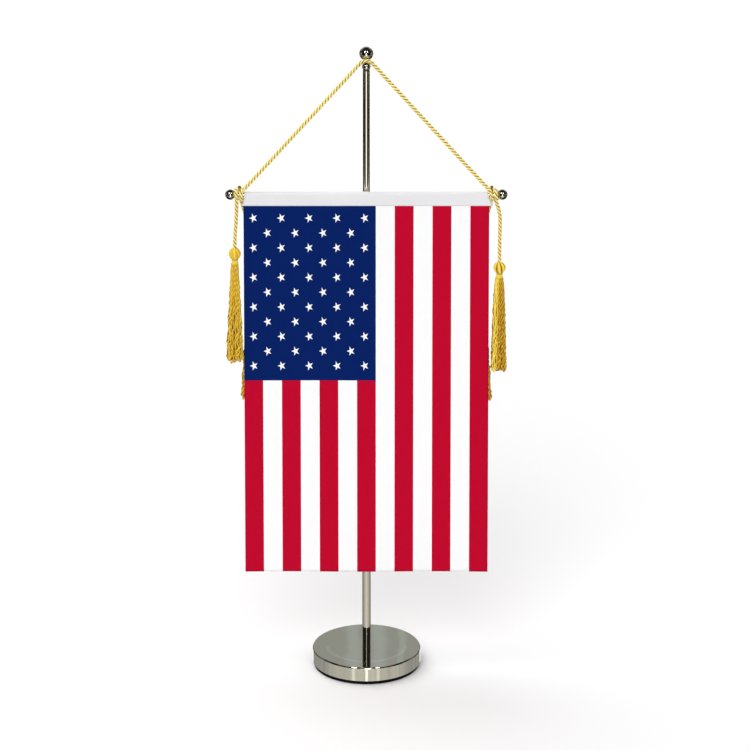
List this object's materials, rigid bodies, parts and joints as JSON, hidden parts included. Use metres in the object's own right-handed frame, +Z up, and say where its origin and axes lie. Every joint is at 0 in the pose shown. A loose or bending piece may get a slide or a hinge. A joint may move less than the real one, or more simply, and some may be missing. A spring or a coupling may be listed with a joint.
{
  "type": "desk flag stand",
  "caption": "Table-top flag stand: weighted round base, telescopic mast with a ball finial, and a striped banner on a crossbar hung by a tasselled cord.",
  "frame": {"origin": "centre of the base's underside", "axes": "+Z up along the mast, -Y towards the viewer of the banner's printed side, +X to that viewer's right"},
  "size_m": [0.1609, 0.0624, 0.3822],
  "materials": {
    "bright_steel": "mirror-polished nickel plate",
    "iron": "oiled black disc",
    "pad_foam": "matt closed-cell foam rubber",
    "screw_steel": "zinc plated",
    "brass": "turned",
    "gold_cord": "twisted rayon rope",
    "gold_tassel": "shiny rayon strands",
    "white_cloth": "white satin",
    "printed_cloth": "printed polyester with red and white stripes and a blue starred corner"
  },
  "bodies": {
    "base": {"base_cover": "bright_steel", "base_weight": "iron", "base_pad": "pad_foam", "base_screw": "screw_steel", "base_washer": "screw_steel", "lower_tube": "bright_steel", "tube_foot_plug": "brass"},
    "mast_slider": {"slide_bush": "brass"},
    "mast": {"upper_tube": "bright_steel", "finial": "bright_steel", "peg_stem": "bright_steel", "peg_ball": "bright_steel"},
    "cord_top": {"cord_bight": "gold_cord"},
    "hanger": {"cord_leg_left": "gold_cord", "cord_leg_right": "gold_cord", "cord_knot_left": "gold_cord", "cord_knot_right": "gold_cord"},
    "crossbar": {"crossbar_rod": "bright_steel", "crossbar_ball_left": "bright_steel", "crossbar_ball_right": "bright_steel"},
    "flag": {"flag_sleeve": "white_cloth", "flag_panel": "printed_cloth"},
    "front_left_tassel": {"front_left_loop": "gold_cord", "front_left_tail": "gold_cord", "front_left_head": "gold_tassel", "front_left_binding": "gold_tassel", "front_left_skirt": "gold_tassel"},
    "front_right_tassel": {"front_right_loop": "gold_cord", "front_right_tail": "gold_cord", "front_right_head": "gold_tassel", "front_right_binding": "gold_tassel", "front_right_skirt": "gold_tassel"},
    "rear_left_tassel": {"rear_left_tail": "gold_cord", "rear_left_head": "gold_tassel", "rear_left_binding": "gold_tassel", "rear_left_skirt": "gold_tassel"},
    "rear_right_tassel": {"rear_right_tail": "gold_cord", "rear_right_head": "gold_tassel", "rear_right_binding": "gold_tassel", "rear_right_skirt": "gold_tassel"}
  },
  "joints": [
    {"name": "mast_slide", "type": "slide", "parent": "base", "child": "mast_slider", "axis": [0, 0, 1], "range_m": [-0.04, 0]},
    {"name": "mast_turn", "type": "hinge", "parent": "mast_slider", "child": "mast", "pos_m": [0, 0, 0.2], "axis": [0, 0, 1], "continuous": true},
    {"name": "banner_lift", "type": "slide", "parent": "mast", "child": "cord_top", "axis": [0, -0.7071, 0.7071], "range_m": [0, 0.05]},
    {"name": "banner_sway", "type": "hinge", "parent": "cord_top", "child": "hanger", "pos_m": [0, -0.0047, 0.3733], "axis": [0, 1, 0], "range_deg": [-12, 12]},
    {"name": "crossbar_roll", "type": "hinge", "parent": "hanger", "child": "crossbar", "pos_m": [0, -0.0047, 0.2943], "axis": [1, 0, 0], "continuous": true},
    {"name": "flag_swing", "type": "hinge", "parent": "hanger", "child": "flag", "pos_m": [0, -0.0047, 0.2943], "axis": [-1, 0, 0], "range_deg": [0, 55]},
    {"name": "front_left_swing", "type": "hinge", "parent": "hanger", "child": "front_left_tassel", "pos_m": [0, -0.0047, 0.2943], "axis": [1, 0, 0], "range_deg": [-40, 40]},
    {"name": "front_right_swing", "type": "hinge", "parent": "hanger", "child": "front_right_tassel", "pos_m": [0, -0.0047, 0.2943], "axis": [1, 0, 0], "range_deg": [-40, 40]},
    {"name": "rear_left_swing", "type": "hinge", "parent": "hanger", "child": "rear_left_tassel", "pos_m": [0, -0.0047, 0.2943], "axis": [1, 0, 0], "range_deg": [0, 40]},
    {"name": "rear_right_swing", "type": "hinge", "parent": "hanger", "child": "rear_right_tassel", "pos_m": [0, -0.0047, 0.2943], "axis": [1, 0, 0], "range_deg": [0, 40]}
  ]
}
